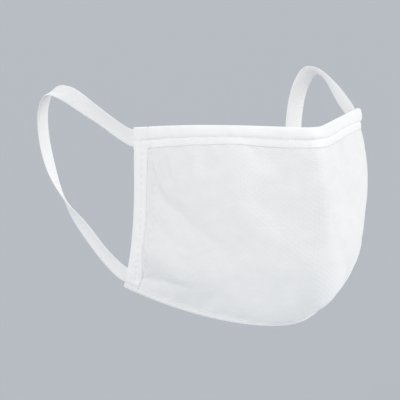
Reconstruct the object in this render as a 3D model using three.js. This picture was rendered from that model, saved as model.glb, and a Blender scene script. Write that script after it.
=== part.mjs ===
// Disposable ear-loop dust mask in the shape that it takes when it is worn.
// Millimetres, +Z up. +X is the wearer's left and -Y is the way that the wearer looks.
// The origin is the middle of the face opening: halfway between the two side edges, at half their height.
import * as THREE from "three";

// Driving dimensions of the worn mask.
const HALF_WIDTH = 64; // from the middle plane to a side edge
const SIDE_TOP = 40; // height of a side edge's upper corner
const SIDE_BOTTOM = -41; // height of its lower corner
const SIDE_FLARE = 15; // how far the lower loop pulls the lower corner back behind the upper one
const JAW_INSET = 2.5; // how much nearer to the middle plane the lower corner is
const NOSE_DEPTH = 70; // from the side edges' plane forward to the nose ridge

// Plies, as offsets from the sheet's own surface, positive towards the outside.
const PLY = 0.4;
const GAP = 0.3;
const LINING_FROM = -0.2;
const FILTER_FROM = LINING_FROM + PLY + GAP;
const COVER_FROM = FILTER_FROM + PLY + GAP;
const STACK_TOP = COVER_FROM + PLY;

// Folded bindings round the edges.
const BINDING = 0.5; // thickness of the strip
const FOLD_CORNER = 0.2; // how far the corners of its fold are cut back
const TOP_BINDING_WIDTH = 10;
const BOTTOM_BINDING_WIDTH = 4;
const SIDE_BINDING_WIDTH = 8;
const CHANNEL_RISE = 1.1; // height of the wire's channel above the rest of the top binding
const CHANNEL_WIDTH = 4.4;

// Nose wire.
const WIRE_WIDTH = 3.2;
const WIRE_THICKNESS = 0.7;
const WIRE_REACH = 0.56; // share of the half width that it covers on each side
const WIRE_LIFT = 0.1; // from the bottom of its channel

// Ear loops.
const BAND_WIDTH = 8.4;
const BAND_THICKNESS = 1.2;
const BAND_TWIST = THREE.MathUtils.degToRad(-65); // how far the band turns to lie round the ear
const FLEX_OUT = 2.4; // from the binding's edge out to the line that a loop flexes about
const FLEX_CLEARANCE = 0.3; // from that line to the start of the loop
const TAB_CLEARANCE = 1.4; // and to the end of the welded part
const TAB_LENGTH = 9; // welded length of a band's end on the skin side
const TAB_HEIGHTS = { upper: 35.2, lower: -36.2 }; // middle of the band where it crosses the side edge

// Mesh fineness.
const STEPS_ACROSS = 15; // from the middle plane to a side edge
const STEPS_DOWN = 16;
const LOOP_STEPS = 64;
const CLOSEST_PLACES = 0.02; // the least that two places across the sheet may lie apart

// ---- The sheet ----

// The middle line, from the top edge over the nose and the chin to the bottom edge.
const middleLine = new THREE.CatmullRomCurve3(
  [
    [-(NOSE_DEPTH - 8), 43],
    [-(NOSE_DEPTH - 1.5), 27],
    [-NOSE_DEPTH, 2],
    [-(NOSE_DEPTH - 2.5), -24],
    [-(NOSE_DEPTH - 13), -43.5],
    [-(NOSE_DEPTH - 34), -56.5],
  ].map(([y, z]) => new THREE.Vector3(0, y, z)),
);

// The wearer's left side edge: upright beside the cheek, and flared back over the jaw.
const sidePoint = (v) =>
  new THREE.Vector3(
    HALF_WIDTH - JAW_INSET * v,
    SIDE_FLARE * v ** 3,
    THREE.MathUtils.lerp(SIDE_TOP, SIDE_BOTTOM, v),
  );

// How round the fold over the middle line is: sharp over the nose, and blunt under the chin.
const foldRadius = (v) => THREE.MathUtils.lerp(0.1, 0.35, v * v);

// The share of the way back that the sheet makes evenly. The rest comes late, round the cheeks, which fill
// the sheet most at their own level.
const CHEEK_LEVEL = 0.35;
function evenShare(v) {
  const away = v < CHEEK_LEVEL ? 1 - v / CHEEK_LEVEL : (v - CHEEK_LEVEL) / (1 - CHEEK_LEVEL);
  return 0.5 + 0.38 * away ** 2;
}
const CHEEK_POWER = 4;

// How late the height of a thread leaves that of the middle line, on its way to the side edge.
const heightPower = (v) => THREE.MathUtils.lerp(3.5, 2.2, v);

// A point of the sheet: u runs from -1 at the right side edge to 1 at the left one, v from 0 at the top to 1.
function insidePoint(u, v) {
  const middle = middleLine.getPointAt(v);
  const side = sidePoint(v);
  const t = Math.abs(u);
  const r = foldRadius(v);
  const even = (Math.hypot(t, r) - r) / (Math.hypot(1, r) - r);
  const back = THREE.MathUtils.lerp(t ** CHEEK_POWER, even, evenShare(v));
  return new THREE.Vector3(
    side.x * u,
    THREE.MathUtils.lerp(middle.y, side.y, back),
    THREE.MathUtils.lerp(middle.z, side.z, t ** heightPower(v)),
  );
}

// The same, going on straight past the sheet's edges.
function surfacePoint(u, v) {
  const uIn = THREE.MathUtils.clamp(u, -1, 1);
  const vIn = THREE.MathUtils.clamp(v, 0, 1);
  const p = insidePoint(uIn, vIn);
  if (u !== uIn) {
    const step = 0.01 * Math.sign(u);
    p.addScaledVector(insidePoint(uIn - step, vIn).sub(p), -(u - uIn) / step);
  }
  if (v !== vIn) {
    const step = vIn === 0 ? -0.01 : 0.01;
    p.addScaledVector(insidePoint(uIn, vIn - step).sub(insidePoint(uIn, vIn)), -(v - vIn) / step);
  }
  return p;
}

// The directions across, down and out of the sheet at a point. The length of the first two is the millimetres
// that one unit of u or v makes.
function sheetFrame(u, v) {
  const h = 0.004;
  const across = surfacePoint(u + h, v).sub(surfacePoint(u - h, v)).divideScalar(2 * h);
  const down = surfacePoint(u, v + h).sub(surfacePoint(u, v - h)).divideScalar(2 * h);
  const out = new THREE.Vector3().crossVectors(down, across).normalize();
  return { across, down, out };
}

// A point at an offset from the sheet, positive outwards.
const offsetPoint = (u, v, n) => surfacePoint(u, v).addScaledVector(sheetFrame(u, v).out, n);

// ---- Solids ----

// A closed solid through rings of points. A ring runs along one side of a section and comes back along the
// other, so its point k lies across from its point k before the end. Both sides split their quads along the
// same diagonal, which keeps a twisted sheet evenly thick.
function loft(rings) {
  const count = rings[0].length;
  const positions = rings.flat().flatMap((p) => [p.x, p.y, p.z]);
  const index = [];
  for (let i = 0; i + 1 < rings.length; i++) {
    for (let k = 0; k < count; k++) {
      const a = i * count + k;
      const b = i * count + ((k + 1) % count);
      if (k < count / 2) {
        index.push(a, b, a + count, b, b + count, a + count);
      } else {
        index.push(a, b, b + count, a, b + count, a + count);
      }
    }
  }
  const last = (rings.length - 1) * count;
  for (let k = 0; k + 1 < count / 2; k++) {
    const [a, b, c, d] = [k, k + 1, count - 2 - k, count - 1 - k];
    index.push(a, d, b, d, c, b);
    index.push(last + a, last + b, last + d, last + d, last + b, last + c);
  }
  const geometry = new THREE.BufferGeometry();
  geometry.setAttribute("position", new THREE.Float32BufferAttribute(positions, 3));
  geometry.setIndex(index);
  return facingOut(geometry);
}

// Turns a closed geometry the right way out.
function facingOut(geometry) {
  const at = (i) => new THREE.Vector3().fromBufferAttribute(geometry.attributes.position, i);
  const index = geometry.index.array;
  let volume = 0;
  for (let i = 0; i < index.length; i += 3) {
    volume += at(index[i]).dot(at(index[i + 1]).cross(at(index[i + 2])));
  }
  if (volume < 0) {
    for (let i = 0; i < index.length; i += 3) {
      [index[i + 1], index[i + 2]] = [index[i + 2], index[i + 1]];
    }
  }
  geometry.computeVertexNormals();
  return geometry;
}

// A section from the points along its one side, and those along its other side in the same direction.
const section = (there, back) => [...there, ...back.toReversed()].map(([x, y]) => new THREE.Vector2(x, y));

// Step i of n from 0 to 1, in steps that are shorter near both ends.
const easedStep = (i, n) => THREE.MathUtils.lerp(i / n, 0.5 - 0.5 * Math.cos((Math.PI * i) / n), 0.7);

// Places across the sheet, closer together over the middle line and beside the side edges.
const acrossPlaces = [];
for (let i = -STEPS_ACROSS; i <= STEPS_ACROSS; i++) {
  acrossPlaces.push(Math.sign(i) * easedStep(Math.abs(i), STEPS_ACROSS));
}

// Places down the sheet, closer together under the top and bottom bindings, where it curves most.
const downPlaces = [];
for (let j = 0; j <= STEPS_DOWN; j++) {
  downPlaces.push(easedStep(j, STEPS_DOWN));
}

// One ply: a shell from one offset to another over the whole sheet.
function ply(from) {
  const outline = section(
    downPlaces.map((v) => [v, from + PLY]),
    downPlaces.map((v) => [v, from]),
  );
  return loft(acrossPlaces.map((u) => outline.map((q) => offsetPoint(u, q.x, q.y))));
}

// The section of a folded strip, as distances in from the edge and offsets from the sheet.
// rise lifts its outer leg into a channel, which starts at the fold.
function foldedSection(width, rise = 0, channel = width / 2) {
  const inner = LINING_FROM - GAP;
  const outer = STACK_TOP + GAP;
  const fold = -GAP - BINDING;
  const wallInside = channel + GAP;
  const wallOutside = wallInside + BINDING;
  return section(
    [
      [width, outer + BINDING],
      [wallOutside + BINDING, outer + BINDING],
      [wallOutside, outer + BINDING + rise],
      [0, outer + BINDING + rise],
      [fold, outer - FOLD_CORNER],
      [fold, inner + FOLD_CORNER],
      [0, inner - BINDING],
      [width / 2, inner - BINDING],
      [width, inner - BINDING],
    ],
    [
      [width, outer],
      [wallOutside, outer],
      [wallInside, outer + rise],
      [FOLD_CORNER, outer + rise],
      [-GAP, outer],
      [-GAP, inner],
      [0, inner],
      [width / 2, inner],
      [width, inner],
    ],
  );
}

// The share of u or v that a distance in millimetres takes at a point of the sheet.
const acrossShare = (u, v, distance) => distance / sheetFrame(u, v).across.length();
const downShare = (u, v, distance) => distance / sheetFrame(u, v).down.length();

// A binding along the top (edge 0) or bottom (edge 1) of the sheet, as wide as the side bindings reach.
function levelBinding(edge, outline) {
  const past = acrossShare(1, edge, GAP + BINDING);
  const places = [-1 - past, ...acrossPlaces, 1 + past];
  const inward = edge ? -1 : 1;
  return loft(
    places.map((u) => {
      const share = inward * downShare(THREE.MathUtils.clamp(u, -1, 1), edge, 1);
      return outline.map((q) => offsetPoint(u, edge + share * q.x, q.y));
    }),
  );
}

// A binding along the left side edge, between the top and bottom bindings.
function sideBinding() {
  const outline = foldedSection(SIDE_BINDING_WIDTH);
  const from = downShare(1, 0, TOP_BINDING_WIDTH + GAP);
  const to = 1 - downShare(1, 1, BOTTOM_BINDING_WIDTH + GAP);
  const rings = [];
  for (let j = 0; j <= STEPS_DOWN; j++) {
    const v = THREE.MathUtils.lerp(from, to, j / STEPS_DOWN);
    rings.push(outline.map((q) => offsetPoint(1 - acrossShare(1, v, q.x), v, q.y)));
  }
  return loft(rings);
}

// The nose wire, in the middle of the top binding's channel.
function noseWire() {
  const floor = STACK_TOP + GAP + WIRE_LIFT;
  const near = (CHANNEL_WIDTH + GAP + FOLD_CORNER - WIRE_WIDTH) / 2;
  const outline = section(
    [
      [near, floor],
      [near + WIRE_WIDTH, floor],
    ],
    [
      [near, floor + WIRE_THICKNESS],
      [near + WIRE_WIDTH, floor + WIRE_THICKNESS],
    ],
  );
  const between = acrossPlaces.filter((u) => Math.abs(u) < WIRE_REACH - CLOSEST_PLACES);
  const places = [-WIRE_REACH, ...between, WIRE_REACH];
  return loft(
    places.map((u) => outline.map((q) => offsetPoint(u, downShare(u, 0, q.x), q.y))),
  );
}

// ---- Ear loops ----

// The offset of a tab's own middle: the tab lies a gap inside the skin side of the bindings.
const TAB_OFFSET = LINING_FROM - 2 * GAP - BINDING - BAND_THICKNESS / 2;

// Where v puts a height on the left side edge.
const heightShare = (height) => (SIDE_TOP - height) / (SIDE_TOP - SIDE_BOTTOM);

// The point of the flex line beside the band's upper or lower end.
function flexPoint(height) {
  const v = heightShare(height);
  const out = acrossShare(1, v, GAP + BINDING + FLEX_OUT);
  return offsetPoint(1 + out, v, TAB_OFFSET);
}

const upperFlex = flexPoint(TAB_HEIGHTS.upper);
const lowerFlex = flexPoint(TAB_HEIGHTS.lower);

// The left loop's middle line: back over the ear, down behind it and forward under the lobe.
const loopLine = new THREE.CatmullRomCurve3(
  [
    upperFlex,
    new THREE.Vector3(70.5, 30, 44.5),
    new THREE.Vector3(75, 53, 51.5),
    new THREE.Vector3(76.5, 66, 50.5),
    new THREE.Vector3(76, 75, 40),
    new THREE.Vector3(74, 77, 23),
    new THREE.Vector3(71, 72, 5),
    new THREE.Vector3(69, 61, -8),
    new THREE.Vector3(67, 48, -17),
    new THREE.Vector3(64.5, 30, -28.5),
    lowerFlex,
  ],
  false,
  "centripetal",
);

// A flat band's section, as its width and thickness, with its edges rounded off.
function bandSection() {
  const edge = BAND_WIDTH / 2;
  const face = BAND_THICKNESS / 2;
  const corner = edge - face / 2;
  const oneSide = (y) => [
    [edge, y * 0.3],
    [corner, y],
    [-corner, y],
    [-edge, y * 0.3],
  ];
  return section(oneSide(face), oneSide(-face));
}

// The band's width direction and face direction at a share of its length.
function bandFrame(share) {
  const along = loopLine.getTangentAt(share);
  const rise = THREE.MathUtils.smoothstep(share, 0.1, 0.38);
  const fall = THREE.MathUtils.smoothstep(share, 0.55, 0.85);
  const face = new THREE.Vector3(1, 0, 0).addScaledVector(along, -along.x).normalize();
  face.applyAxisAngle(along, BAND_TWIST * (rise - fall));
  return { face, width: new THREE.Vector3().crossVectors(face, along) };
}

function earLoop() {
  const outline = bandSection();
  const start = FLEX_CLEARANCE / loopLine.getLength();
  const rings = [];
  for (let i = 0; i <= LOOP_STEPS; i++) {
    const share = THREE.MathUtils.lerp(start, 1 - start, i / LOOP_STEPS);
    const middle = loopLine.getPointAt(share);
    const { face, width } = bandFrame(share);
    rings.push(
      outline.map((q) => middle.clone().addScaledVector(width, q.x).addScaledVector(face, q.y)),
    );
  }
  return loft(rings);
}

// A band's welded end, flat on the skin side of a corner of the left side edge.
function loopTab(height) {
  const outline = bandSection();
  const v = heightShare(height);
  const outer = GAP + BINDING + FLEX_OUT - TAB_CLEARANCE;
  const rings = [-outer, TAB_LENGTH / 2, TAB_LENGTH].map((distance) => {
    const u = 1 - acrossShare(1, v, distance);
    return outline.map((q) => offsetPoint(u, v + downShare(1, v, q.x), TAB_OFFSET + q.y));
  });
  return loft(rings);
}

// ---- Materials ----

const nonwoven = (color, roughness) => new THREE.MeshStandardMaterial({ color, roughness, metalness: 0 });
const coverMaterial = nonwoven(0xeef0f2, 0.9);
const filterMaterial = nonwoven(0xf7f7f4, 0.95);
const liningMaterial = nonwoven(0xf4f5f6, 0.92);
const bindingMaterial = nonwoven(0xf6f7f9, 0.85);
const bandMaterial = nonwoven(0xf5f6f8, 0.88);
const wireMaterial = nonwoven(0xe8e9ea, 0.45);

// ---- Assembly ----

const mask = new THREE.Group();

function add(name, geometry, material, mirrored = false) {
  const mesh = new THREE.Mesh(geometry, material);
  mesh.name = name;
  mesh.scale.x = mirrored ? -1 : 1;
  mask.add(mesh);
}

add("inner_lining", ply(LINING_FROM), liningMaterial);
add("filter_ply", ply(FILTER_FROM), filterMaterial);
add("outer_cover", ply(COVER_FROM), coverMaterial);

const topSection = foldedSection(TOP_BINDING_WIDTH, CHANNEL_RISE, CHANNEL_WIDTH);
add("top_binding", levelBinding(0, topSection), bindingMaterial);
add("bottom_binding", levelBinding(1, foldedSection(BOTTOM_BINDING_WIDTH)), bindingMaterial);
add("nose_wire", noseWire(), wireMaterial);

for (const [side, mirrored] of [
  ["left", false],
  ["right", true],
]) {
  add(`side_binding_${side}`, sideBinding(), bindingMaterial, mirrored);
  add(`ear_loop_${side}`, earLoop(), bandMaterial, mirrored);
  for (const [end, height] of Object.entries(TAB_HEIGHTS)) {
    add(`${end}_loop_tab_${side}`, loopTab(height), bandMaterial, mirrored);
  }
}

export default mask;
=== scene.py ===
"""Looks of the ear-loop dust mask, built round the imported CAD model.

The sheet of the mask is one surface, sheet_point(u, v), in millimetres: u runs from -1 at the wearer's
right side edge to 1 at the left one, v from 0 at the top edge to 1 at the bottom one. Plies, bindings and
welds are all laid on it at their own offsets, so that they follow each other's folds.
"""

import math

import bmesh
import bpy
import numpy as np
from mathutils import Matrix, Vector, noise


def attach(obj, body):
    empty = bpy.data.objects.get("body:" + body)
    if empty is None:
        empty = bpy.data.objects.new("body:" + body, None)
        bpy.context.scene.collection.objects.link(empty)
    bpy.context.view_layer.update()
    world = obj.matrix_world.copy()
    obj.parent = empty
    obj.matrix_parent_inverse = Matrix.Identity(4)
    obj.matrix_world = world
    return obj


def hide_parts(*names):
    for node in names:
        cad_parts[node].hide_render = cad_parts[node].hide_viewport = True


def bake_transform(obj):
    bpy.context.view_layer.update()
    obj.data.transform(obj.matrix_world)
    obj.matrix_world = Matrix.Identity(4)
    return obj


MM = 0.001

# ---- Driving dimensions, in millimetres, as in the CAD part ----

HALF_WIDTH = 64
SIDE_TOP = 40
SIDE_BOTTOM = -41
SIDE_FLARE = 15
JAW_INSET = 2.5
NOSE_DEPTH = 70
FOLD_SHARPNESS = 0.045
CHEEK_LEVEL = 0.35
CHEEK_POWER = 4

# Middle line of the sheet as (y, z), from the top edge to the bottom edge.
MIDDLE_LINE = [
    (-(NOSE_DEPTH - 8), 43),
    (-(NOSE_DEPTH - 1.5), 27),
    (-NOSE_DEPTH, 2),
    (-(NOSE_DEPTH - 2.5), -24),
    (-(NOSE_DEPTH - 13), -43.5),
    (-(NOSE_DEPTH - 34), -56.5),
]

# Offsets of the plies from the sheet, positive outwards.
LINING = (-0.2, 0.15)
FILTER = (0.25, 0.6)
COVER = (0.7, 1.15)

# Bindings: how far each reaches in from its edge, how high its fold stands, and how far in it is pressed.
TOP_WIDTH, TOP_PUFF, TOP_PRESS = 10.2, 1.25, 5.9
BOTTOM_WIDTH, BOTTOM_PUFF, BOTTOM_PRESS = 4, 0.35, 2.3
SIDE_WIDTH, SIDE_PUFF, SIDE_PRESS = 7.6, 0.55, 4.6
FOLD_PAST = 0.8  # how far a fold stands past the edge of the plies
STRIP = 0.4  # thickness of the strip itself
STRIP_GAP = 0.02  # between a strip and the plies
PRESS_DEPTH = 0.34  # how deep the dashes of the pressed line go at most
GROOVE_DEPTH = 0.12
PUCKER = 0.16  # unevenness of the fold
LEVEL_PAST = 0.012  # how far the top and bottom strips go on past the side edges, as a share of u
SIDE_SPAN = (0.095, 0.962)  # the part of v that a side strip covers
END_FLAT = 0.08  # a strip's roll is pressed this flat at its cut ends, and is full again after END_REACH
END_REACH = 7
SIDE_WELD = 11.5  # distance in from the side edge of the weld row through the plies

# Nose wire.
WIRE_WIDTH = 3.2
WIRE_THICKNESS = 0.7
WIRE_MIDDLE = 2.5
WIRE_LIFT = 0.45  # over the cover
WIRE_REACH = 0.56  # how far it goes to each side, as a share of u

# Ear loops.
BAND_WIDTH = 8.4
BAND_THICKNESS = 1.1
BAND_TWIST = math.radians(-65)
DOT_PITCH = 1.6
DOT_HEIGHT = 0.25
WELDED_THICKNESS = 0.6  # thickness of a welded end, as a share of the free band's
RIB_HEIGHT = 0.06
BAND_CURL = 0.5
FLEX_OUT = 2.4
FLEX_REACH = 2.4  # the bend of a band reaches this far to either side of its flex line
TAB_LENGTH = 9
TAB_HEIGHTS = {"upper": 35.2, "lower": -36.2}
LOOP_POINTS = [
    (70.5, 30, 44.5),
    (75, 53, 51.5),
    (76.5, 66, 50.5),
    (76, 75, 40),
    (74, 77, 23),
    (71, 72, 5),
    (69, 61, -8),
    (67, 48, -17),
    (64.5, 30, -28.5),
]

# Mesh fineness.
ACROSS = 241
DOWN = 145
BAND_RINGS = 440

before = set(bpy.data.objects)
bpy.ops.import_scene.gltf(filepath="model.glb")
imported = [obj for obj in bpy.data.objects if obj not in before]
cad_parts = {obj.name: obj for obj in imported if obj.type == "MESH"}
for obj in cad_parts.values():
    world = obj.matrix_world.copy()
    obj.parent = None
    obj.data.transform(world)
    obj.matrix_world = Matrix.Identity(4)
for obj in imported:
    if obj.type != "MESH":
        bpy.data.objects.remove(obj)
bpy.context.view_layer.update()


# ---- Curves and the sheet ----


def catmull_rom(points, samples=40):
    """Points close together along a centripetal Catmull-Rom curve through the given ones."""
    p = np.asarray(points, float)
    p = np.vstack([2 * p[0] - p[1], p, 2 * p[-1] - p[-2]])
    t = np.linspace(0, 1, samples, endpoint=False)[:, None]
    pieces = []
    for a, b, c, d in zip(p, p[1:], p[2:], p[3:]):
        ab, bc, cd = (math.sqrt(np.linalg.norm(y - x)) for x, y in ((a, b), (b, c), (c, d)))
        start = ((b - a) / ab - (c - a) / (ab + bc) + (c - b) / bc) * bc
        end = ((c - b) / bc - (d - b) / (bc + cd) + (d - c) / cd) * bc
        pieces.append(
            b * (2 * t**3 - 3 * t**2 + 1)
            + start * (t**3 - 2 * t**2 + t)
            + c * (3 * t**2 - 2 * t**3)
            + end * (t**3 - t**2)
        )
    return np.vstack([*pieces, p[-2:-1]])


def lengths_along(points):
    """How far along a run of points each of them lies."""
    return np.concatenate([[0], np.cumsum(np.linalg.norm(np.diff(points, axis=0), axis=1))])


def along(curve, share):
    """Points at shares of a curve's length."""
    reach = lengths_along(curve)
    where = np.asarray(share, float) * reach[-1]
    return np.stack([np.interp(where, reach, curve[:, k]) for k in range(curve.shape[1])], axis=-1)


def smooth_step(x, low, high):
    """0 up to low and 1 from high on, with an S curve between them."""
    t = np.clip((x - low) / (high - low), 0, 1)
    return t * t * (3 - 2 * t)


middle_curve = catmull_rom(MIDDLE_LINE)


def sheet_point(u, v):
    """Points of the smooth sheet, before its folds."""
    u, v = np.broadcast_arrays(np.asarray(u, float), np.asarray(v, float))
    middle = along(middle_curve, v)
    side_x = HALF_WIDTH - JAW_INSET * v
    side_y = SIDE_FLARE * v**3
    side_z = SIDE_TOP + (SIDE_BOTTOM - SIDE_TOP) * v
    t = np.abs(u)
    r = FOLD_SHARPNESS + 0.3 * v**2.5
    even = (np.hypot(t, r) - r) / (np.hypot(1, r) - r)
    away = np.where(v < CHEEK_LEVEL, 1 - v / CHEEK_LEVEL, (v - CHEEK_LEVEL) / (1 - CHEEK_LEVEL))
    share = 0.5 + 0.38 * away**2
    back = t**CHEEK_POWER * (1 - share) + even * share
    rise = t ** (3.5 - 1.3 * v)
    return np.stack(
        [
            side_x * u,
            middle[..., 0] + (side_y - middle[..., 0]) * back,
            middle[..., 1] + (side_z - middle[..., 1]) * rise,
        ],
        axis=-1,
    )


def unit(vectors):
    return vectors / np.linalg.norm(vectors, axis=-1, keepdims=True)


def grid_normals(points):
    """Outward directions at a grid of points whose rows go down and columns go to the wearer's left."""
    down = np.gradient(points, axis=0)
    across = np.gradient(points, axis=1)
    return unit(np.cross(down, across))


def even_places(count):
    """Places across the sheet that lie equally far apart over the cheeks' level."""
    u = np.linspace(-1, 1, 2001)
    reach = lengths_along(sheet_point(u, CHEEK_LEVEL))
    return np.interp(np.linspace(0, reach[-1], count), reach, u)


U_PLACES = even_places(ACROSS)
V_PLACES = np.linspace(0, 1, DOWN)
smooth_sheet = sheet_point(U_PLACES[None, :], V_PLACES[:, None])

# ---- Folds of the cloth ----

# Soft folds: the places (u, v) that each runs through, its height in millimetres, negative for a valley,
# and its half width. A fold fades out at both ends.
FOLDS = [
    # Right half: the draw line that runs from the upper corner down along the side binding, turns away from
    # it and crosses the cheek, and the soft swell under it where the lower loop pulls.
    ([(-0.95, 0.12), (-0.94, 0.255), (-0.905, 0.385), (-0.84, 0.45)], -0.6, 2.6),
    ([(-0.93, 0.36), (-0.81, 0.465), (-0.66, 0.56), (-0.50, 0.655)], -1.7, 5.5),
    ([(-0.985, 0.67), (-0.90, 0.70), (-0.78, 0.72), (-0.60, 0.74)], 3.4, 10.5),
    # The crease where the cloth turns under the jaw.
    ([(-0.985, 0.935), (-0.88, 0.87), (-0.75, 0.80), (-0.58, 0.745)], -0.7, 3.0),
    # Gathers beside the side binding, below the upper loop.
    ([(-0.957, 0.14), (-0.955, 0.30), (-0.957, 0.52)], 0.8, 1.3),
    ([(-0.925, 0.12), (-0.915, 0.24), (-0.89, 0.36)], 0.7, 1.6),
    ([(-0.90, 0.12), (-0.88, 0.22), (-0.85, 0.32)], -0.5, 2.2),
    # The same on the left half, where the cloth lies a little differently.
    ([(0.95, 0.12), (0.935, 0.24), (0.90, 0.36), (0.83, 0.44)], -0.8, 2.4),
    ([(0.93, 0.40), (0.82, 0.50), (0.68, 0.60), (0.54, 0.68)], -1.4, 5.5),
    ([(0.985, 0.54), (0.90, 0.64), (0.79, 0.70), (0.64, 0.76)], 1.8, 6.0),
    ([(0.985, 0.93), (0.88, 0.865), (0.76, 0.81), (0.60, 0.76)], -1.3, 2.2),
    ([(0.96, 0.86), (0.87, 0.80), (0.75, 0.76)], 0.7, 3.0),
    ([(0.955, 0.13), (0.95, 0.28), (0.955, 0.48)], 0.8, 1.3),
    ([(0.91, 0.13), (0.885, 0.22), (0.85, 0.33)], 0.5, 2.2),
    # The crease down the middle, from when the mask lay folded in its pack.
    ([(0.0, 0.02), (0.0, 0.30), (0.0, 0.72)], 0.9, 1.8),
    # The cloth stands away along the nose, and sinks between nose and cheeks.
    ([(0.0, 0.0), (0.0, 0.22), (0.0, 0.55)], 1.8, 11.0),
    ([(-0.24, 0.06), (-0.30, 0.24), (-0.34, 0.48)], -2.2, 13.0),
    ([(0.24, 0.06), (0.30, 0.24), (0.34, 0.48)], -2.2, 13.0),
    # Where the cloth eases over the chin.
    ([(-0.30, 0.64), (-0.20, 0.74), (-0.05, 0.80)], -0.5, 5.0),
    ([(0.28, 0.58), (0.40, 0.68), (0.46, 0.80)], -1.0, 5.0),
]


def fold_height(points, places, height, half_width):
    """How far one soft fold lifts each of the points."""
    route = along(catmull_rom(sheet_point(*np.array(places).T)), np.linspace(0, 1, 40))
    best = np.full(points.shape[:-1], np.inf)
    share = np.zeros(points.shape[:-1])
    for k, place in enumerate(route):
        distance = np.linalg.norm(points - place, axis=-1)
        nearer = distance < best
        best = np.where(nearer, distance, best)
        share = np.where(nearer, k / (len(route) - 1), share)
    fade = smooth_step(share, -0.15, 0.3) * (1 - smooth_step(share, 0.6, 1.0))
    return height * fade * np.exp(-((best / half_width) ** 2))


def ripple(points, size, seed):
    """Smooth seeded unevenness from about -1 to 1, with features of about the given size in millimetres."""
    flat = points.reshape(-1, 3) / size + seed
    return np.array([noise.noise(Vector(p)) for p in flat]).reshape(points.shape[:-1]) * 1.6


# Unevenness of the cloth: height, size of its features and seed.
RIPPLES = [(0.45, 21, 3.7), (0.16, 7.5, 9.1)]

# Distances along a weld: each pressed dash, its rounded ends and the space after it.
DASH = 2.2
DASH_END = 0.45
DASH_SPACE = 1.4


def dashes(distance):
    """1 inside a weld's pressed dashes and 0 between them."""
    at = np.mod(distance, DASH + DASH_SPACE)
    return smooth_step(at, 0, DASH_END) * (1 - smooth_step(at, DASH - DASH_END, DASH))


def side_weld():
    """How far the weld row beside each side binding presses the plies in."""
    across = lengths_along(smooth_sheet[DOWN // 2])
    from_side = np.minimum(across, across[-1] - across)
    down = V_PLACES * (SIDE_TOP - SIDE_BOTTOM)
    row = np.exp(-(((from_side - SIDE_WELD) / 0.8) ** 2))[None, :]
    return -row * (0.22 + 0.3 * dashes(down)[:, None])


# Cloth simulation, on every second point of the sheet.
SIM_STEP = 2
SIM_SCALE = 0.01  # the cloth is simulated ten times as large as life, where Blender's cloth is steady
SIM_FRAMES = 16
SPARE_CLOTH = 0.008
STRETCH_STIFFNESS = 25
SHEAR_STIFFNESS = 12
BENDING_STIFFNESS = 6
SMOOTHING_PASSES = 3


def held_firmness():
    """How firmly each simulated point is held: fully along the edges, and slightly in between."""
    u, v = np.abs(U_PLACES[::SIM_STEP])[None, :], V_PLACES[::SIM_STEP, None]
    sides = smooth_step(u, 0.90, 0.97)
    top = 1 - smooth_step(v, 0.03, 0.1)
    bottom = smooth_step(v, 0.93, 0.97)
    between = 0.02 + 0.10 * (1 - u)
    return np.maximum.reduce(np.broadcast_arrays(sides, top, bottom, between))


def cloth_object(points):
    """The coarse sheet as a Blender cloth whose vertices are held as held_firmness says."""
    rows, columns = points.shape[:2]
    index = np.arange(rows * columns).reshape(rows, columns)
    faces = np.stack([index[:-1, :-1], index[1:, :-1], index[1:, 1:], index[:-1, 1:]], axis=-1)
    mesh = bpy.data.meshes.new("cloth_sim")
    mesh.from_pydata((points.reshape(-1, 3) * SIM_SCALE).tolist(), [], faces.reshape(-1, 4).tolist())
    cloth = bpy.data.objects.new("cloth_sim", mesh)
    bpy.context.scene.collection.objects.link(cloth)
    group = cloth.vertex_groups.new(name="held")
    for k, weight in enumerate(held_firmness().ravel()):
        group.add([k], float(min(weight, 1)), "REPLACE")
    modifier = cloth.modifiers.new("Cloth", "CLOTH")
    modifier.collision_settings.use_collision = False
    settings = modifier.settings
    settings.quality = 6
    settings.mass = 0.3
    settings.tension_stiffness = settings.compression_stiffness = STRETCH_STIFFNESS
    settings.shear_stiffness = SHEAR_STIFFNESS
    settings.bending_stiffness = BENDING_STIFFNESS
    settings.air_damping = 3
    settings.vertex_group_mass = "held"
    settings.pin_stiffness = 1
    settings.shrink_min = -SPARE_CLOTH
    settings.effector_weights.gravity = 0
    return cloth


def simulated_moves(points):
    """How far the simulation moves each point of the coarse sheet."""
    cloth = cloth_object(points)
    scene = bpy.context.scene
    for number in range(1, SIM_FRAMES + 1):
        scene.frame_set(number)
    shape = cloth.evaluated_get(bpy.context.evaluated_depsgraph_get()).data
    now = np.empty(points.size)
    shape.vertices.foreach_get("co", now)
    scene.frame_set(1)
    bpy.data.objects.remove(cloth)
    return now.reshape(points.shape) / SIM_SCALE - points


def settled(points):
    """The sheet after a short cloth simulation, with its edges held and a little spare cloth to ease."""
    moves = simulated_moves(points[::SIM_STEP, ::SIM_STEP])
    full = np.zeros_like(points)
    for k in range(3):
        rows = [np.interp(U_PLACES, U_PLACES[::SIM_STEP], row) for row in moves[..., k]]
        columns = [np.interp(V_PLACES, V_PLACES[::SIM_STEP], column) for column in np.stack(rows).T]
        full[..., k] = np.stack(columns).T
    for _ in range(SMOOTHING_PASSES):
        beside = full[:-2, 1:-1] + full[2:, 1:-1] + full[1:-1, :-2] + full[1:-1, 2:]
        full[1:-1, 1:-1] = (full[1:-1, 1:-1] * 2 + beside) / 6
    return points + full


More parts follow.
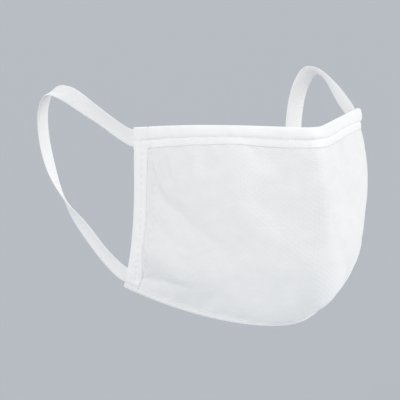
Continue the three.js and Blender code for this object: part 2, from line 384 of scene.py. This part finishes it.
def folded_sheet():
    """The smooth sheet with its folds, unevenness and side welds, which fade out under the strips."""
    lift = sum(fold_height(smooth_sheet, *fold) for fold in FOLDS)
    for height, size, seed in RIPPLES:
        lift = lift + height * ripple(smooth_sheet, size, seed)
    u, v = np.abs(U_PLACES)[None, :], V_PLACES[:, None]
    hold = (1 - smooth_step(u, 0.93, 1)) * smooth_step(v, 0.0, 0.09) * (1 - smooth_step(v, 0.94, 1))
    return smooth_sheet + grid_normals(smooth_sheet) * (lift * hold + side_weld())[..., None]


sheet = folded_sheet()
sheet = settled(sheet)
sheet_out = grid_normals(sheet)


def interpolate(grid, u, v):
    """The values of a grid at places (u, v), going on straight past its edges."""
    i = (np.asarray(u, float) + 1) / 2 * (ACROSS - 1)
    j = np.asarray(v, float) * (DOWN - 1)
    i0 = np.clip(np.floor(i).astype(int), 0, ACROSS - 2)
    j0 = np.clip(np.floor(j).astype(int), 0, DOWN - 2)
    a, b = (i - i0)[..., None], (j - j0)[..., None]
    upper = grid[j0, i0] * (1 - a) + grid[j0, i0 + 1] * a
    lower = grid[j0 + 1, i0] * (1 - a) + grid[j0 + 1, i0 + 1] * a
    return upper * (1 - b) + lower * b


def laid(u, v, offset):
    """Points at an offset from the folded sheet."""
    u, v, offset = np.broadcast_arrays(u, v, offset)
    out = unit(interpolate(sheet_out, np.clip(u, -1, 1), np.clip(v, 0, 1)))
    return interpolate(sheet, u, v) + out * offset[..., None]


# ---- Meshes ----


def grid_mesh(name, points, uv, close_round=False, cap=False):
    """A mesh over a grid of points in millimetres, with its UV map in metres of cloth.

    close_round joins the last column to the first, and cap closes the two open ends of such a tube."""
    rows, columns = points.shape[:2]
    index = np.arange(rows * columns).reshape(rows, columns)
    nexts = np.roll(index, -1, axis=1) if close_round else index[:, 1:]
    first = index if close_round else index[:, :-1]
    faces = np.stack([first[:-1], nexts[:-1], nexts[1:], first[1:]], axis=-1).reshape(-1, 4).tolist()
    if cap:
        half = columns // 2
        for row, turn in ((index[0], 1), (index[-1], -1)):
            for k in range(half - 1):
                quad = [row[k], row[columns - 1 - k], row[columns - 2 - k], row[k + 1]]
                faces.append([int(n) for n in quad[::turn]])
    mesh = bpy.data.meshes.new(name)
    mesh.from_pydata((points.reshape(-1, 3) * MM).tolist(), [], faces)
    layer = mesh.uv_layers.new(name="cloth")
    corners = np.array([loop.vertex_index for loop in mesh.loops])
    layer.data.foreach_set("uv", (uv.reshape(-1, 2)[corners] * MM).ravel())
    mesh.polygons.foreach_set("use_smooth", [True] * len(mesh.polygons))
    made = bpy.data.objects.new(name, mesh)
    bpy.context.scene.collection.objects.link(made)
    return made


def face_outwards(made):
    """Turns a closed mesh the right way out."""
    bm = bmesh.new()
    bm.from_mesh(made.data)
    bmesh.ops.recalc_face_normals(bm, faces=bm.faces)
    bm.to_mesh(made.data)
    bm.free()


def tube(name, rings, ring_uv):
    """A closed solid through rings that each run out on one side of the section and back on the other."""
    made = grid_mesh(name, rings, ring_uv, close_round=True, cap=True)
    face_outwards(made)
    return made


cloth_u = lengths_along(smooth_sheet[DOWN // 3])
cloth_v = lengths_along(smooth_sheet[:, ACROSS // 2])


def cloth_uv(u, v):
    """Places on the flat cloth, in millimetres."""
    return np.stack([np.interp(u, U_PLACES, cloth_u), np.interp(v, V_PLACES, cloth_v)], axis=-1)


def ply(name, low, high, step):
    """One ply: a closed shell between two offsets from the sheet."""
    v = V_PLACES[::step]
    ring_v = np.concatenate([v, v[::-1]])
    offset = np.concatenate([np.full(len(v), high), np.full(len(v), low)])
    u = U_PLACES[::step][:, None]
    rings = laid(u, ring_v[None, :], offset[None, :])
    u, ring_v = np.broadcast_arrays(u, ring_v[None, :])
    return tube(name, rings, cloth_uv(u, ring_v))


cover = ply("outer_ply", *COVER, 1)
filter_web = ply("filter_web", *FILTER, 2)
lining = ply("lining_ply", *LINING, 2)


# ---- Bindings ----


def binding_profile(width, puff, weld):
    """The outer side of a folded strip: distances in from the edge and heights above the cover.

    puff is how high the fold stands, and weld how far in the pressed line lies."""
    into = np.concatenate(
        [
            np.linspace(0, weld - 1.2, 7),
            np.linspace(weld - 0.9, weld + 0.9, 9),
            np.linspace(weld + 1.2, width, 5),
        ]
    )
    rounding = np.sqrt(np.clip(1 - ((into - weld * 0.42) / (weld * 0.62)) ** 2, 0, 1))
    height = STRIP + np.where(into < weld, puff * rounding, 0)
    height = height * (1 - 0.8 * smooth_step(into, (weld + width) / 2, width))
    return into, height


def bell(distance, half_width):
    """1 at no distance, falling to about a third at the half width."""
    return np.exp(-((distance / half_width) ** 2))


def strip_heights(lengths, from_end, into, height, weld, seed):
    """Heights of a strip's outer side at each ring, with its pressed dashes, flattened ends and puckers."""
    fullness = END_FLAT + (1 - END_FLAT) * smooth_step(from_end, 0.5, END_REACH)[:, None]
    top = STRIP + (height[None, :] - STRIP) * np.where(height > STRIP, fullness, 1)
    press_depth = min(PRESS_DEPTH, 0.5 * (height.max() - STRIP))
    press = press_depth * dashes(lengths)[:, None] * bell(into - weld, 0.6)[None, :]
    groove = GROOVE_DEPTH * bell(into - weld, 0.9)[None, :]
    top = np.maximum(top - groove - press, 0.06)
    pucker = np.array([noise.noise(Vector((x / 5.5, seed, 0.5))) for x in lengths])
    return top + PUCKER * fullness * pucker[:, None] * bell(into - weld * 0.5, weld * 0.5)[None, :]


def fold_offsets(outer, inner, past):
    """Offsets round a strip's fold, from its outer side to its inner one."""
    middle = (outer[:, :1] + inner[:, :1]) / 2
    half = (outer[:, :1] - inner[:, :1]) / 2
    return middle + half * np.cos(np.pi * past)[None, :]


def strip_rings(into_map, lengths, profile, weld, seed, past_plies=0.0):
    """Rings of points of a folded strip. into_map turns (ring, distance in) into places (u, v).

    past_plies is how far each end goes on past the plies; there its two halves are pressed together."""
    into, height = profile
    from_end = np.minimum(lengths, lengths[-1] - lengths)
    top = strip_heights(lengths, from_end, into, height, weld, seed)
    past = np.linspace(0, 1, 7)[1:-1]
    fold_in = -FOLD_PAST * np.sin(np.pi * past)
    outer = COVER[1] + STRIP_GAP + top
    inner = np.full_like(top, LINING[0] - STRIP_GAP - STRIP * 0.9)
    distances = np.concatenate([into[::-1], fold_in, into])
    offsets = np.concatenate([outer[:, ::-1], fold_offsets(outer, inner, past), inner], axis=1)
    # The strip's own underside, which faces the plies.
    under_outer = COVER[1] + STRIP_GAP + np.maximum(top - STRIP, 0)
    under_inner = np.full_like(top, LINING[0] - STRIP_GAP)
    if past_plies:
        joined = (1 - smooth_step(from_end, past_plies * 0.5, past_plies * 0.95))[:, None]
        middle = (under_outer + under_inner) / 2
        under_outer = under_outer + (middle + STRIP_GAP / 2 - under_outer) * joined
        under_inner = under_inner + (middle - STRIP_GAP / 2 - under_inner) * joined
    under_fold = fold_offsets(under_outer, under_inner, past)
    under_distances = np.concatenate([into[::-1], fold_in * 0.4, into])
    under_offsets = np.concatenate([under_outer[:, ::-1], under_fold, under_inner], axis=1)
    ring_distance = np.concatenate([distances, under_distances[::-1]])
    ring_offset = np.concatenate([offsets, under_offsets[:, ::-1]], axis=1)
    across = np.cumsum(np.abs(np.diff(ring_distance, prepend=ring_distance[0])))
    ring_uv = np.stack(np.broadcast_arrays(lengths[:, None], across[None, :]), axis=-1)
    return laid(*into_map(ring_distance), ring_offset), ring_uv


def share_per_mm(line, step, share):
    """The share of the sheet that one millimetre takes, where a share leads from line to step."""
    return share / np.linalg.norm(step - line, axis=-1)


def level_binding(name, edge, width, puff, weld, seed):
    """The strip over the top (edge 0) or bottom (edge 1) of the sheet."""
    u = np.linspace(-1 - LEVEL_PAST, 1 + LEVEL_PAST, 421)
    inward = 1 - 2 * edge
    line = laid(u, float(edge), 0.0)
    share = share_per_mm(line, laid(u, edge + inward * 0.02, 0.0), 0.02)

    def places(distance):
        """Places (u, v) at distances in from this edge."""
        return u[:, None], edge + inward * share[:, None] * distance[None, :]

    lengths = lengths_along(line)
    past_plies = np.interp(-1, u, lengths)
    profile = binding_profile(width, puff, weld)
    return tube(name, *strip_rings(places, lengths, profile, weld, seed, past_plies))


def side_binding(name, side, seed):
    """The strip over a side edge: side -1 is the wearer's right one."""
    v = np.linspace(*SIDE_SPAN, 181)
    line = laid(float(side), v, 0.0)
    share = share_per_mm(line, laid(side * 0.99, v, 0.0), 0.01)

    def places(distance):
        """Places (u, v) at distances in from this side edge."""
        return side * (1 - share[:, None] * distance[None, :]), v[:, None]

    profile = binding_profile(SIDE_WIDTH, SIDE_PUFF, SIDE_PRESS)
    return tube(name, *strip_rings(places, lengths_along(line), profile, SIDE_PRESS, seed))


top_strip = level_binding("top_strip", 0, TOP_WIDTH, TOP_PUFF, TOP_PRESS, 1.0)
bottom_strip = level_binding("bottom_strip", 1, BOTTOM_WIDTH, BOTTOM_PUFF, BOTTOM_PRESS, 2.0)
side_strips = {
    "right": side_binding("side_strip_right", -1, 3.0),
    "left": side_binding("side_strip_left", 1, 4.0),
}


def nose_wire():
    """The flat wire in the channel of the top strip, with rounded edges."""
    u = np.linspace(-WIRE_REACH, WIRE_REACH, 161)
    line = laid(u, 0.0, 0.0)
    share = share_per_mm(line, laid(u, 0.02, 0.0), 0.02)
    turn = np.linspace(0, 2 * np.pi, 16, endpoint=False) + np.pi / 16
    width = WIRE_WIDTH / 2 * np.sign(np.cos(turn)) * np.abs(np.cos(turn)) ** 0.4
    thick = WIRE_THICKNESS / 2 * np.sign(np.sin(turn)) * np.abs(np.sin(turn)) ** 0.7
    v = share[:, None] * (WIRE_MIDDLE + width)[None, :]
    rings = laid(u[:, None], v, COVER[1] + WIRE_LIFT + thick[None, :])
    uv = np.stack(np.broadcast_arrays(lengths_along(line)[:, None], width[None, :]), axis=-1)
    return tube("bendable_wire", rings, uv)


wire = nose_wire()

# ---- Ear loops ----

TAB_OFFSET = LINING[0] - STRIP - 0.05 - 0.25 * BAND_THICKNESS  # of a welded end's middle from the sheet


def side_share(height):
    """The share v down a side edge at a height on it."""
    return (SIDE_TOP - height) / (SIDE_TOP - SIDE_BOTTOM)


def end_places(side, height, into):
    """Places (u, v) at distances in from a side edge, at a height on it."""
    v = side_share(height)
    share = share_per_mm(laid(float(side), v, 0.0), laid(side * 0.99, v, 0.0), 0.01)
    return side * (1 - share * np.asarray(into, float)), v


def flex_point(side, height):
    """Where a band bends as its loop swings, just past the side binding."""
    return laid(*end_places(side, height, -(FOLD_PAST + FLEX_OUT)), TAB_OFFSET)


def band_end(side, height):
    """The welded end of a band: points from its cut edge to the side edge of the mask."""
    return laid(*end_places(side, height, np.linspace(TAB_LENGTH, 0, 5)), TAB_OFFSET)


def band_path(side):
    """Points along a whole ear band, from its upper cut end round to its lower one."""
    upper, lower = TAB_HEIGHTS["upper"], TAB_HEIGHTS["lower"]
    loop = np.array(LOOP_POINTS) * (side, 1, 1)
    flexes = [flex_point(side, height) for height in (upper, lower)]
    upper_end, lower_end = band_end(side, upper), band_end(side, lower)
    curve = catmull_rom([*upper_end, flexes[0], *loop, flexes[1], *lower_end[::-1]])
    return along(curve, np.linspace(0, 1, BAND_RINGS))


def band_directions(side, middle, from_end):
    """The way that a band's face and its width point at each ring."""
    v_upper, v_lower = (side_share(height) for height in TAB_HEIGHTS.values())
    welded = 1 - smooth_step(from_end, TAB_LENGTH * 0.7, TAB_LENGTH * 2)[:, None]
    v_near = np.where(np.arange(BAND_RINGS) < BAND_RINGS / 2, v_upper, v_lower)
    out = unit(interpolate(sheet_out, side * 0.97, v_near))
    wish = out * welded + np.array([side, 0.0, 0.0]) * (1 - welded)
    tangent = unit(np.gradient(middle, axis=0))
    face = unit(wish - tangent * np.sum(wish * tangent, axis=-1, keepdims=True))
    share = np.linspace(0, 1, BAND_RINGS)
    turn = side * BAND_TWIST * (smooth_step(share, 0.15, 0.40) - smooth_step(share, 0.54, 0.80))
    face = face * np.cos(turn)[:, None] + np.cross(tangent, face) * np.sin(turn)[:, None]
    return face, np.cross(face, tangent)


def band_section():
    """The band's section, with knitted ribs on both faces."""
    across = np.linspace(1, -1, 49)
    ribs = RIB_HEIGHT * np.cos(across * np.pi * 7)
    thick = (BAND_THICKNESS / 2) * (1 - np.abs(across) ** 8 * 0.65)
    width = across * BAND_WIDTH / 2
    upper = np.stack([width, thick * 0.8 + ribs], axis=-1)
    lower = np.stack([width, -thick * 0.8 + ribs * 0.6], axis=-1)
    return np.concatenate([upper, lower[::-1]])


def weld_dots(distance):
    """1 at each row of dots that weld a band, and 0 between the rows."""
    return smooth_step(np.cos(distance * 2 * np.pi / DOT_PITCH), 0.1, 0.7)


def ear_band(name, side):
    """One flat elastic band in a single piece, with the dots that weld its ends to the lining side."""
    middle = band_path(side)
    lengths = lengths_along(middle)
    from_end = np.minimum(lengths, lengths[-1] - lengths)
    face, width = band_directions(side, middle, from_end)
    section = band_section()
    dot_rows = weld_dots(from_end) * (from_end < TAB_LENGTH - 1)
    dot_columns = weld_dots(section[:, 0]) * (section[:, 1] < 0)
    free = smooth_step(from_end, TAB_LENGTH, TAB_LENGTH * 2.5)[:, None]
    curl = BAND_CURL * (section[None, :, 0] / (BAND_WIDTH / 2)) ** 2  # of the free band, towards its face
    height = section[None, :, 1] * (WELDED_THICKNESS + (1 - WELDED_THICKNESS) * free) + curl * free
    height = height + DOT_HEIGHT * dot_rows[:, None] * dot_columns[None, :]
    rings = middle[:, None] + width[:, None] * section[None, :, :1] + face[:, None] * height[..., None]
    uv = np.stack(np.broadcast_arrays(lengths[:, None], section[None, :, 0]), axis=-1)
    return tube(name, rings, uv)


bands = {
    "left": ear_band("elastic_band_left", 1),
    "right": ear_band("elastic_band_right", -1),
}

# ---- Materials ----


def new_material(name, color, roughness, sheen=0.0):
    """A new material of one colour, with its node tree and shader to build on."""
    material = bpy.data.materials.new(name)
    material.use_nodes = True
    shader = material.node_tree.nodes["Principled BSDF"]
    shader.inputs["Base Color"].default_value = (*color, 1)
    shader.inputs["Roughness"].default_value = roughness
    shader.inputs["Sheen Weight"].default_value = sheen
    shader.inputs["Sheen Roughness"].default_value = 0.6
    shader.inputs["Specular IOR Level"].default_value = 0.25
    return material, material.node_tree, shader


def node(tree, kind, inputs=(), **settings):
    """A new node; an input takes either a plain value or the socket that feeds it."""
    made = tree.nodes.new(kind)
    for key, value in settings.items():
        setattr(made, key, value)
    for key, value in dict(inputs).items():
        if isinstance(value, bpy.types.NodeSocket):
            tree.links.new(value, made.inputs[key])
        else:
            made.inputs[key].default_value = value
    return made


def math_node(tree, operation, *values):
    return node(tree, "ShaderNodeMath", dict(enumerate(values)), operation=operation).outputs[0]


def color_ramp(tree, factor, stops):
    """The colour at a factor, from stops of (place, colour)."""
    made = node(tree, "ShaderNodeValToRGB", {"Fac": factor})
    ramp = made.color_ramp
    while len(ramp.elements) < len(stops):
        ramp.elements.new(0.5)
    for element, (place, color) in zip(ramp.elements, stops):
        element.position = place
        element.color = (*color, 1)
    return made.outputs["Color"]


def cloth_place(tree, turn=0.0):
    """The place on the flat cloth, in metres."""
    uv = node(tree, "ShaderNodeUVMap", uv_map="cloth")
    mapped = node(tree, "ShaderNodeMapping", {"Vector": uv.outputs["UV"], "Rotation": (0, 0, turn)})
    return mapped.outputs["Vector"]


def noise_value(tree, place, scale, **settings):
    """Noise from 0 to 1 at a place."""
    inputs = {"Vector": place, "Scale": scale, **settings}
    return node(tree, "ShaderNodeTexNoise", inputs).outputs["Fac"]


def stretched(tree, place, scale):
    """A place with each of its three directions scaled on its own."""
    return node(tree, "ShaderNodeMapping", {"Vector": place, "Scale": scale}).outputs["Vector"]


def add_bump(tree, shader, height, strength, distance):
    """Lets a height shape the shader's surface, over a distance in metres."""
    bumped = node(tree, "ShaderNodeBump", {"Height": height, "Strength": strength, "Distance": distance})
    tree.links.new(bumped.outputs["Normal"], shader.inputs["Normal"])


def fibre_layer(tree, degrees):
    """Fine fibres that lie one way over the cloth."""
    place = stretched(tree, cloth_place(tree, math.radians(degrees)), (420, 3600, 1))
    return noise_value(tree, place, 1.0, Detail=3.0, Roughness=0.6)


def nonwoven(name, color, shade, dot_pitch, bump):
    """Pressed-fibre cloth: tangled fibres, cloudy thickness and a regular grid of bond dots."""
    material, tree, shader = new_material(name, color, 0.88, sheen=0.12)
    diagonal = cloth_place(tree, math.radians(45))
    grid = {"Vector": diagonal, "Scale": 1 / dot_pitch, "Randomness": 0.0}
    dot = node(tree, "ShaderNodeTexVoronoi", grid).outputs["Distance"]
    pressed = color_ramp(tree, dot, [(0.0, (1, 1, 1)), (0.2, (1, 1, 1)), (0.34, (0, 0, 0))])
    first, second, third = (fibre_layer(tree, degrees) for degrees in (12, -38, 74))
    web = math_node(tree, "MAXIMUM", math_node(tree, "MAXIMUM", first, second), third)
    cloud = noise_value(tree, cloth_place(tree), 160.0, Detail=4.0, Roughness=0.55)
    tone = color_ramp(tree, cloud, [(0.3, shade), (0.7, color)])
    mixed = node(tree, "ShaderNodeMix", data_type="RGBA")
    color_a, color_b = mixed.inputs[6], mixed.inputs[7]
    tree.links.new(math_node(tree, "MULTIPLY", pressed, 0.3), mixed.inputs["Factor"])
    tree.links.new(tone, color_a)
    color_b.default_value = (*shade, 1)
    tree.links.new(mixed.outputs[2], shader.inputs["Base Color"])
    rough = math_node(tree, "SUBTRACT", 0.92, math_node(tree, "MULTIPLY", pressed, 0.3))
    tree.links.new(rough, shader.inputs["Roughness"])
    cloud_height = math_node(tree, "MULTIPLY", cloud, 0.7)
    dot_depth = math_node(tree, "MULTIPLY", pressed, 0.55)
    body = math_node(tree, "SUBTRACT", cloud_height, dot_depth)
    height = math_node(tree, "ADD", math_node(tree, "MULTIPLY", web, 0.5), body)
    add_bump(tree, shader, height, bump, 0.0004)
    return material


def elastic(name):
    """Knitted elastic: fine courses across the band over its modelled ribs."""
    material, tree, shader = new_material(name, (0.86, 0.87, 0.885), 0.8, sheen=0.2)
    flat = cloth_place(tree)
    courses = node(
        tree,
        "ShaderNodeTexWave",
        {"Vector": flat, "Scale": 420.0, "Distortion": 1.5, "Detail": 2.0, "Detail Scale": 2.0},
        bands_direction="X",
    ).outputs["Fac"]
    fuzz = noise_value(tree, flat, 1800.0, Detail=3.0)
    tone = color_ramp(tree, courses, [(0.0, (0.87, 0.863, 0.856)), (0.6, (0.92, 0.913, 0.906))])
    tree.links.new(tone, shader.inputs["Base Color"])
    height = math_node(tree, "ADD", courses, math_node(tree, "MULTIPLY", fuzz, 0.4))
    add_bump(tree, shader, height, 0.35, 0.0002)
    return material


def wire_coat(name):
    """The plastic coat of the nose wire, with the faint streaks along it that drawing leaves."""
    material, tree, shader = new_material(name, (0.82, 0.83, 0.84), 0.45)
    streaks = noise_value(tree, stretched(tree, cloth_place(tree), (60, 2400, 1)), 1.0, Detail=3.0)
    tone = color_ramp(tree, streaks, [(0.3, (0.78, 0.79, 0.80)), (0.7, (0.85, 0.86, 0.87))])
    tree.links.new(tone, shader.inputs["Base Color"])
    add_bump(tree, shader, streaks, 0.2, 0.0001)
    return material


cover_look = nonwoven("cover_cloth", (0.895, 0.888, 0.880), (0.860, 0.855, 0.848), 0.0018, 0.26)
binding_look = nonwoven("binding_cloth", (0.965, 0.957, 0.948), (0.93, 0.924, 0.916), 0.0012, 0.32)
# The bottom strip's copy of the binding cloth, painted darker as shade under the chin.
shaded_binding_look = nonwoven("binding_cloth_painted_shade", (0.895, 0.888, 0.880), (0.855, 0.849, 0.842), 0.0012, 0.32)
lining_look = nonwoven("lining_cloth", (0.90, 0.893, 0.885), (0.855, 0.85, 0.843), 0.0015, 0.3)
filter_look = nonwoven("filter_cloth", (0.92, 0.92, 0.91), (0.87, 0.87, 0.86), 0.0024, 0.3)
elastic_look = elastic("loop_elastic_cloth")
wire_look = wire_coat("wire_coat")

# ---- Bodies and what replaces what ----


def flex_span(side):
    """Where a band starts and ends its bend: to either side of the line through its two flex points."""
    upper, lower = (flex_point(side, height) for height in TAB_HEIGHTS.values())
    middle, axis = (upper + lower) / 2, unit(upper - lower)
    away = np.array([0.0, 1.0, 0.0])
    away = unit(away - axis * (away @ axis)) * FLEX_REACH
    return tuple((middle - away) * MM), tuple((middle + away) * MM)


def dress(piece, look, body, slot, *nodes):
    """Gives a piece its material and the body that it moves with, and hides the CAD nodes it stands for;
    slot is not used.
    """
    piece.data.materials.append(look)
    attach(piece, body)
    if nodes:
        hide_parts(*nodes)


dress(cover, cover_look, "mask", "cover_nonwoven", "outer_cover")
dress(filter_web, filter_look, "mask", "filter_web", "filter_ply")
dress(lining, lining_look, "mask", "lining_nonwoven", "inner_lining")
dress(top_strip, binding_look, "mask", "binding_nonwoven", "top_binding")
dress(bottom_strip, shaded_binding_look, "mask", "binding_nonwoven", "bottom_binding")
for side_name in ("left", "right"):
    dress(side_strips[side_name], binding_look, "mask", "binding_nonwoven", f"side_binding_{side_name}")
    band = bands[side_name]
    band.data.materials.append(elastic_look)
    stands_for = [f"{piece}_{side_name}" for piece in ("ear_loop", "upper_loop_tab", "lower_loop_tab")]
    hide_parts(*stands_for)
    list(flex_span(1 if side_name == "left" else -1))
    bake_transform(band)

dress(wire, wire_look, "mask", "nose_wire", "nose_wire")

# ---- Room, light and camera ----

FLOOR = -0.16
FLOOR_REACH = 60
LOOK_AT = Vector((-0.021, 0.012, -0.001))
AZIMUTH, ELEVATION = -30, 10
DISTANCE = 1.6
FRAME_WIDTH = 0.2  # how much the camera sees at that distance

bpy.context.scene.view_settings.view_transform = "Standard"

floor_mesh = bpy.data.meshes.new("floor")
floor_signs = ((-1, -1), (1, -1), (1, 1), (-1, 1))
floor_corners = [(x * FLOOR_REACH, y * FLOOR_REACH, FLOOR) for x, y in floor_signs]
floor_mesh.from_pydata(floor_corners, [], [(0, 1, 2, 3)])
floor = bpy.data.objects.new("floor", floor_mesh)
bpy.context.scene.collection.objects.link(floor)
floor_look, _, _ = new_material("floor_paint", (0.440, 0.460, 0.486), 0.95)
floor.data.materials.append(floor_look)

world = bpy.data.worlds.new("studio")
world.use_nodes = True
background = world.node_tree.nodes["Background"]
background.inputs["Color"].default_value = (0.555, 0.585, 0.620, 1)
background.inputs["Strength"].default_value = 0.93
bpy.context.scene.world = world


def direction(azimuth, elevation):
    """The direction from the object to a place at those angles; azimuth 0 is straight in front."""
    a, e = math.radians(azimuth), math.radians(elevation)
    return Vector((math.sin(a) * math.cos(e), -math.cos(a) * math.cos(e), math.sin(e)))


def soft_light(name, azimuth, elevation, strength, spread):
    """A warm-white sun from a direction, as wide as its spread in degrees."""
    lamp = bpy.data.lights.new(name, "SUN")
    lamp.energy = strength
    lamp.angle = math.radians(spread)
    lamp.color = (1.0, 0.985, 0.965)
    made = bpy.data.objects.new(name, lamp)
    made.rotation_euler = direction(azimuth, elevation).to_track_quat("Z", "Y").to_euler()
    bpy.context.scene.collection.objects.link(made)


soft_light("key", 52, 32, 1.59, 30)
soft_light("fill", -72, 20, 1.255, 40)
soft_light("back", 170, 40, 0.6, 40)

# Light that a pale table top throws up at the chin; the camera doesn't see the lamp.
table_glow = bpy.data.lights.new("table_glow", "AREA")
table_glow.shape = "DISK"
table_glow.size = 0.5
table_glow.energy = 0.26
glow = bpy.data.objects.new("table_glow", table_glow)
glow.location = (0.09, -0.2, FLOOR + 0.01)
glow.rotation_euler = (math.pi, 0, 0)
glow.visible_camera = False
bpy.context.scene.collection.objects.link(glow)

lens = bpy.data.cameras.new("camera")
lens.lens = lens.sensor_width * DISTANCE / FRAME_WIDTH
camera = bpy.data.objects.new("camera", lens)
camera.location = LOOK_AT + direction(AZIMUTH, ELEVATION) * DISTANCE
camera.rotation_euler = direction(AZIMUTH, ELEVATION).to_track_quat("Z", "Y").to_euler()
bpy.context.scene.collection.objects.link(camera)
bpy.context.scene.camera = camera
